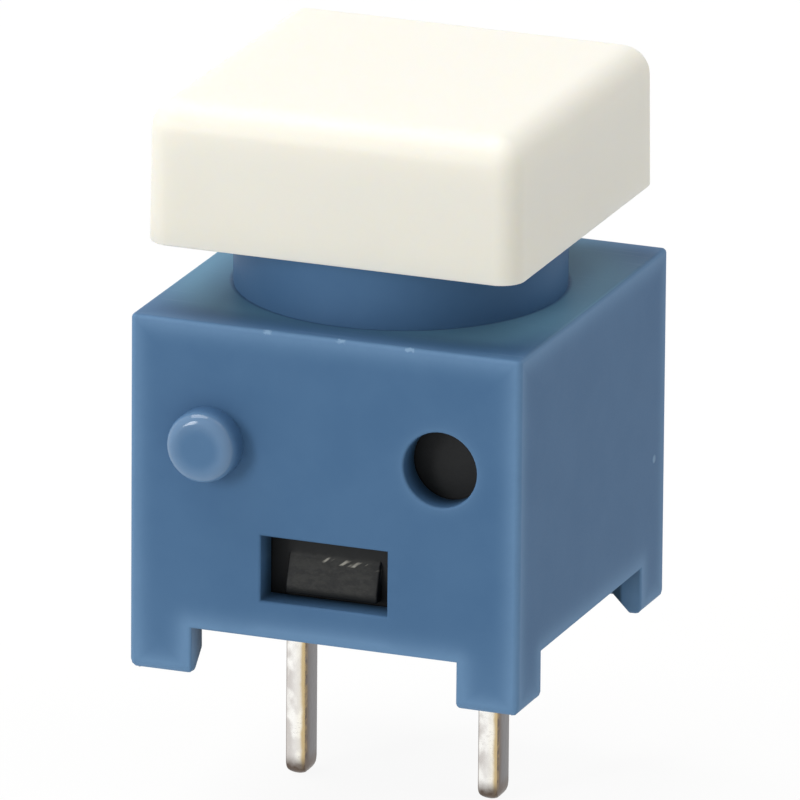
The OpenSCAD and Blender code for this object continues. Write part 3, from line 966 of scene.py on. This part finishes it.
@dataclass
class Terminals:
    """The two terminals, each a tail through the floor bent outwards into a pad."""

    centre: float = 2.54 * MM
    half_thick: float = 0.25 * MM
    half_wide: float = 0.445 * MM
    soft: float = 0.05 * MM
    tip: float = -3.95 * MM
    tip_round_wide: float = 0.36 * MM
    tip_round_thick: float = 0.20 * MM
    tip_share: float = 0.45
    most_round: float = 0.98
    pad_middle: float = 4.15 * MM
    pad_end: float = 3.45 * MM
    bend: float = 0.27 * MM
    finish: TinnedStrip = field(default_factory=TinnedStrip)

    def stations(self) -> list[tuple[float, float, float, float, float]]:
        """The strip's middle line: x, z, turn in degrees, inset of its thickness, inset of its width."""
        rows = []
        for step in range(10):
            angle = math.radians(90 * step / 9)
            height = self.tip_round_wide * (1 - math.cos(angle))
            short = max(self.tip_round_thick - height, 0.0)
            rows.append((self.centre, self.tip + height, 0.0,
                         self.tip_round_thick - math.sqrt(self.tip_round_thick ** 2 - short ** 2),
                         self.tip_round_wide * (1 - math.sin(angle))))
        corner_z = self.pad_middle - self.bend
        straight = corner_z - self.tip
        rows += [(self.centre, self.tip + straight * part, 0.0, 0.0, 0.0) for part in (0.3, 0.6, 0.9)]
        for step in range(9):
            angle = math.radians(90 * step / 8)
            rows.append((self.centre + self.bend * (1 - math.cos(angle)),
                         corner_z + self.bend * math.sin(angle), 90.0 * step / 8, 0.0, 0.0))
        soft = self.soft
        rows += [(self.pad_end - soft, self.pad_middle, 90.0, 0.0, 0.0),
                 (self.pad_end - soft * 0.3, self.pad_middle, 90.0, soft * 0.3, soft * 0.3),
                 (self.pad_end, self.pad_middle, 90.0, soft, soft)]
        return rows

    def ring(self, x: float, z: float, turn: float, thinner: float, narrower: float) -> list[Vector]:
        """One rounded rectangle across the strip."""
        thick, wide = self.half_thick - thinner, self.half_wide - narrower
        round_off = min(self.soft + narrower * self.tip_share, thick * self.most_round,
                        wide * self.most_round)
        lean = math.radians(turn)
        points = []
        for quarter, (st, sw) in enumerate(((1, 1), (-1, 1), (-1, -1), (1, -1))):
            for step in range(6):
                angle = math.radians(90 * (quarter + step / 5))
                t = st * (thick - round_off) + round_off * math.cos(angle)
                w = sw * (wide - round_off) + round_off * math.sin(angle)
                points.append(Vector((x + t * math.cos(lean), w, z - t * math.sin(lean))))
        return points

    def build(self) -> list[bpy.types.Object]:
        """Builds both terminals."""
        material = self.finish.material()
        pieces = []
        for node, side in (("terminal_left", -1.0), ("terminal_right", 1.0)):
            shape = bmesh.new()
            rows = [[shape.verts.new(p) for p in self.ring(*station)] for station in self.stations()]
            for low, high in zip(rows, rows[1:]):
                for i in range(len(low)):
                    j = (i + 1) % len(low)
                    shape.faces.new((low[i], low[j], high[j], high[i]))
            shape.faces.new(rows[0])
            shape.faces.new(rows[-1])
            bmesh.ops.scale(shape, verts=shape.verts, vec=(side, 1.0, 1.0))
            bmesh.ops.recalc_face_normals(shape, faces=shape.faces)
            for face in shape.faces:
                face.smooth = True
            mesh = bpy.data.meshes.new(node)
            shape.to_mesh(mesh)
            shape.free()
            mesh.set_sharp_from_angle(angle=CREASE)
            pieces.append(publish(mesh, f"{node}_strip", Body.FRAME, Slot.TERMINAL, material, [node]))
        return pieces


@dataclass
class ContactBlade:
    """The flat blade that joins the two contacts."""

    rounding: float = 0.03 * MM
    finish: RolledBrass = field(default_factory=RolledBrass)

    def build(self) -> bpy.types.Object:
        """Builds the blade."""
        mesh = soft_edged(joined_copy("contact_bridge"), "contact_blade", self.rounding, 2)
        return publish(mesh, "contact_blade", Body.BRIDGE, Slot.BLADE, self.finish.material(),
                       ["contact_bridge"])


@dataclass
class ContactRivets:
    """The two pairs of headed contacts: one pair in the blade, one in the terminals' pads."""

    reach: float = 2.87 * MM
    head: float = 0.40 * MM
    shank: float = 0.18 * MM
    height: float = 0.20 * MM
    blade_low: float = 5.68 * MM
    blade_thick: float = 0.25 * MM
    pad_top: float = 4.40 * MM
    pad_thick: float = 0.50 * MM
    finish: ContactSilver = field(default_factory=ContactSilver)

    def profile(self, sheet: float) -> list[tuple[float, float]]:
        """Half outline of a rivet: a shank through its sheet, and a soft domed head above it."""
        bead, crown, chamfer = 0.06 * MM, 0.03 * MM, 0.02 * MM
        rows = [(0.0, -sheet + chamfer), (self.shank * 0.55, -sheet),
                (self.shank * 0.85, -sheet + 0.004 * MM), (self.shank, -sheet + crown), (self.shank, 0.0),
                (self.head - chamfer, 0.0), (self.head, chamfer)]
        for step in range(7):
            turn = math.radians(15 * step)
            rows.append((self.head - bead * (1 - math.cos(turn)),
                         self.height - crown - bead + bead * math.sin(turn)))
        for share in (0.75, 0.5, 0.25, 0.0):
            rows.append(((self.head - bead) * share, self.height - crown * share ** 2))
        return rows

    def pair(self, name: str, sheet: float, height: float, flip: float) -> bpy.types.Mesh:
        """Two rivets side by side, set out by Geometry Nodes.

        Args:
            name: A name for the pair.
            sheet: Thickness of the sheet that they sit in.
            height: Height of the sheet's contact side.
            flip: Turn about X in radians: half a turn hangs them upside down.

        Returns:
            The pair's mesh.
        """
        pattern = bpy.data.objects.new(f"{name}_pattern", turned(self.profile(sheet), f"{name}_pattern"))
        bpy.context.scene.collection.objects.link(pattern)
        jig = Jig(name)
        rivet, reach, level, turn = jig.inputs(Rivet=pattern, Reach=self.reach, Level=height, Turn=flip)
        sockets = {"Count": 2, "Start Location": jig.point(0 - reach, 0.0, level),
                   "Offset": jig.point(reach * 2, 0.0, 0.0)}
        places = jig.node("GeometryNodeMeshLine", {"mode": "OFFSET"}, sockets).outputs[0]
        shape = jig.node("GeometryNodeObjectInfo", sockets={"Object": rivet}).outputs["Geometry"]
        sockets = {"Points": places, "Instance": shape, "Rotation": jig.point(turn, 0.0, 0.0)}
        mesh = jig.mesh(jig.node("GeometryNodeInstanceOnPoints", sockets=sockets).outputs[0],
                        self.finish.material())
        bpy.data.objects.remove(pattern)
        return mesh

    def build(self) -> list[bpy.types.Object]:
        """Builds both pairs."""
        moving = self.pair("moving_contacts", self.blade_thick, self.blade_low, math.pi)
        fixed = self.pair("fixed_contacts", self.pad_thick, self.pad_top, 0.0)
        pieces = []
        for mesh, body, stem in ((moving, Body.BRIDGE, "moving_contact"),
                                 (fixed, Body.FRAME, "fixed_contact")):
            material = mesh.materials[0]
            for edge in mesh.edges:
                edge.use_edge_sharp = False
            mesh.set_sharp_from_angle(angle=CREASE)
            pieces.append(publish(mesh, f"{stem}_rivets", body, Slot.CONTACT, material,
                                  [f"{stem}_left", f"{stem}_right"]))
        return pieces


@dataclass
class CoilSpring:
    """A coil spring with closed end turns."""

    node: str
    body: Body
    joint: str
    coil: float
    wire: float
    low: float
    high: float
    pitch: float
    anchor: float
    keep: float
    closed: float = 0.75
    closed_pitch: float = 1.04
    steps: int = 30
    finish: DrawnWire = field(default_factory=DrawnWire)

    def build(self) -> bpy.types.Object:
        """Winds the spring with Geometry Nodes."""
        rise = self.closed_pitch * self.wire
        height = self.high - self.low
        turns = 2 * self.closed + (height - self.wire - 2 * self.closed * rise) / self.pitch
        jig = Jig(f"{self.node}_winding")
        coil, wire, low, tall, count, ends, per_turn = jig.inputs(
            Coil_diameter=self.coil, Wire_diameter=self.wire, Lower_end=self.low, Height=height,
            Turns=turns, Closed_turns=self.closed, Points_to_a_turn=self.steps)
        index = Number(jig, jig.node("GeometryNodeInputIndex").outputs[0])
        turn = jig.smaller(index / per_turn, count)
        climb = wire * self.closed_pitch
        middle = jig.maths("DIVIDE", turn - ends, count - ends * 2, clamp=True)
        level = (low + wire * 0.5 + jig.smaller(turn, ends) * climb
                 + middle * (tall - wire - ends * climb * 2)
                 + jig.larger(turn - count + ends, 0.0) * climb)
        angle = turn * math.tau
        radius = (coil - wire) * 0.5
        place = jig.point(radius * jig.maths("COSINE", angle), radius * jig.maths("SINE", angle), level)
        points = jig.maths("CEIL", count * per_turn) + 1
        chain = jig.node("GeometryNodeMeshLine", {"mode": "OFFSET"}, {"Count": points}).outputs[0]
        wound = jig.node("GeometryNodeSetPosition", sockets={0: chain, "Position": place}).outputs[0]
        path = jig.node("GeometryNodeMeshToCurve", sockets={0: wound}).outputs[0]
        ring = jig.node("GeometryNodeCurvePrimitiveCircle", {"mode": "RADIUS"},
                        {"Resolution": 12, "Radius": wire * 0.5}).outputs[0]
        wire_mesh = jig.node("GeometryNodeCurveToMesh", sockets={"Curve": path, "Profile Curve": ring,
                                                                 "Fill Caps": True}).outputs[0]
        mesh = jig.mesh(wire_mesh, self.finish.material())
        material = mesh.materials[0]
        mesh.set_sharp_from_angle(angle=WIRE_CREASE)
        piece = publish(mesh, f"{self.node}_wire", self.body, Slot.SPRING, material, [self.node])
        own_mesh(piece)
        return piece


def springs() -> list[CoilSpring]:
    """The return spring under the plunger, and the small one that presses the blade down."""
    lift, lag = 1.30 * MM, 0.43 * MM
    low, high = 2.32 * MM, 5.26 * MM
    under, over = 5.95 * MM, 7.32 * MM
    return [
        CoilSpring("return_spring", Body.FRAME, "button_press", 2.60 * MM, 0.25 * MM, low, high,
                   0.60 * MM, low, 1 - lift / (high - low)),
        CoilSpring("contact_spring", Body.BUTTON, "bridge_lag", 1.50 * MM, 0.16 * MM, under, over,
                   0.31 * MM, over, 1 - lag / (over - under)),
    ]


@dataclass(frozen=True)
class Lamp:
    """A soft lamp: its direction from the switch, distance, width and height, and power in watts."""

    name: str
    side: Colour
    distance: float
    size: tuple[float, float]
    power: float


@dataclass
class Studio:
    """Floor, lamps, background and camera: a wide lamp overhead, a weaker one to the right, and a low
    strip left of the camera."""

    azimuth: float = 21.13
    elevation: float = 17.76
    roll: float = 0.45
    distance: float = 0.4105
    lens: float = 753.6
    orbit: Colour = (0.0, 0.0, 5.08 * MM)
    aim: Colour = (0.0, 0.0, 5.986 * MM)
    floor_z: float = -3.95 * MM
    floor_glow: float = 1.02
    floor_share: float = 0.90
    sky: float = 0.475
    warm_white: Colour = (1.0, 0.99, 0.97)
    lamps: tuple[Lamp, ...] = (
        Lamp("overhead_lamp", (-0.36, -0.02, 0.93), 0.50, (0.34, 0.34), 1.36),
        Lamp("right_lamp", (0.50, 0.16, 0.84), 0.50, (0.30, 0.30), 0.34),
        Lamp("side_lamp", (-0.50, -0.84, 0.24), 0.35, (0.08, 0.16), 0.395),
    )

    def build(self) -> None:
        """Builds the surroundings."""
        self.floor()
        for lamp in self.lamps:
            self.hang(lamp)
        self.background()
        self.camera()

    def floor(self) -> None:
        """Lays the plain pale floor, nearly white to the camera and still shaded by the switch."""
        shape = bmesh.new()
        bmesh.ops.create_grid(shape, x_segments=4, y_segments=4, size=3.0)
        bmesh.ops.translate(shape, verts=shape.verts, vec=(0, 0, self.floor_z))
        mesh = bpy.data.meshes.new("floor")
        shape.to_mesh(mesh)
        shape.free()
        ground = bpy.data.objects.new("floor", mesh)
        bpy.context.scene.collection.objects.link(ground)
        paint = Paint("floor_white")
        paint.set(Base_Color=(0.82, 0.82, 0.81), Roughness=0.9, Specular_IOR_Level=0.1)
        sockets = {"Color": (1, 1, 1, 1), "Strength": self.floor_glow}
        glow = paint.node("ShaderNodeEmission", sockets=sockets)
        sockets = {0: self.seen_directly(paint) * self.floor_share, 1: paint.shader.outputs[0],
                   2: glow.outputs[0]}
        mix = paint.node("ShaderNodeMixShader", sockets=sockets)
        end = next(n for n in paint.tree.nodes if n.type == "OUTPUT_MATERIAL")
        paint.tree.links.new(mix.outputs[0], end.inputs["Surface"])
        mesh.materials.append(paint.material)

    def hang(self, lamp: Lamp) -> None:
        """Hangs one lamp so that it shines on the switch."""
        light = bpy.data.lights.new(lamp.name, "AREA")
        light.shape = "RECTANGLE"
        light.size, light.size_y = lamp.size
        light.energy = lamp.power
        light.color = self.warm_white
        place = Vector(lamp.side).normalized() * lamp.distance
        turned_to = place.to_track_quat("Z", "Y").to_matrix().to_4x4()
        stand = bpy.data.objects.new(lamp.name, light)
        stand.matrix_world = Matrix.Translation(place + Vector(self.orbit)) @ turned_to
        bpy.context.scene.collection.objects.link(stand)

    @staticmethod
    def seen_directly(bench: Bench) -> Number:
        """Counts the kinds of ray, among camera, glossy and transmission, that a ray is."""
        rays = bench.node("ShaderNodeLightPath")
        first, second, third = (Number(bench, rays.outputs[name]) for name in
                                ("Is Camera Ray", "Is Glossy Ray", "Is Transmission Ray"))
        return first + second + third

    def background(self) -> None:
        """Sets a soft sky that lights the switch, and shows plain white to camera and reflections."""
        world = bpy.data.worlds.new("studio")
        bpy.context.scene.world = world
        world.use_nodes = True
        bench = Bench(world.node_tree)
        share = bench.smaller(self.seen_directly(bench), 1.0)
        sockets = {"Color": (*self.warm_white, 1.0), "Strength": self.sky}
        fill = bench.node("ShaderNodeBackground", sockets=sockets)
        white = bench.node("ShaderNodeBackground", sockets={"Color": (1, 1, 1, 1), "Strength": 1.0})
        sockets = {0: share, 1: fill.outputs[0], 2: white.outputs[0]}
        mix = bench.node("ShaderNodeMixShader", sockets=sockets)
        bench.node("ShaderNodeOutputWorld", sockets={"Surface": mix.outputs[0]})

    def camera(self) -> None:
        """Places the camera at the photograph's angle."""
        azimuth, elevation = math.radians(self.azimuth), math.radians(self.elevation)
        away = Vector((math.sin(azimuth) * math.cos(elevation), -math.cos(azimuth) * math.cos(elevation),
                       math.sin(elevation)))
        place = Vector(self.orbit) + away * self.distance
        view = (place - Vector(self.aim)).to_track_quat("Z", "Y").to_matrix().to_4x4()
        optics = bpy.data.cameras.new("camera")
        optics.lens = self.lens
        optics.sensor_width = 36.0
        optics.sensor_fit = "HORIZONTAL"
        optics.clip_start = 0.01
        optics.clip_end = 20.0
        stand = bpy.data.objects.new("camera", optics)
        roll = Matrix.Rotation(math.radians(self.roll), 4, "Z")
        stand.matrix_world = Matrix.Translation(place) @ view @ roll
        bpy.context.scene.collection.objects.link(stand)
        bpy.context.scene.camera = stand
        bpy.context.scene.view_settings.view_transform = "Standard"


def main() -> None:
    """Builds the studio and the switch's pieces, and logs each piece's face count."""
    logging.basicConfig(level=logging.INFO, format="%(message)s")
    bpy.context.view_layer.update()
    Studio().build()
    for part in (HousingMoulding(), BaseMoulding(), KeyCap(), PlungerMoulding(), Terminals(),
                 ContactBlade(), ContactRivets(), *springs()):
        made = part.build()
        for piece in made if isinstance(made, list) else [made]:
            LOG.info("%s: %d faces", piece.name, len(piece.data.polygons))


if __name__ == "__main__":
    main()
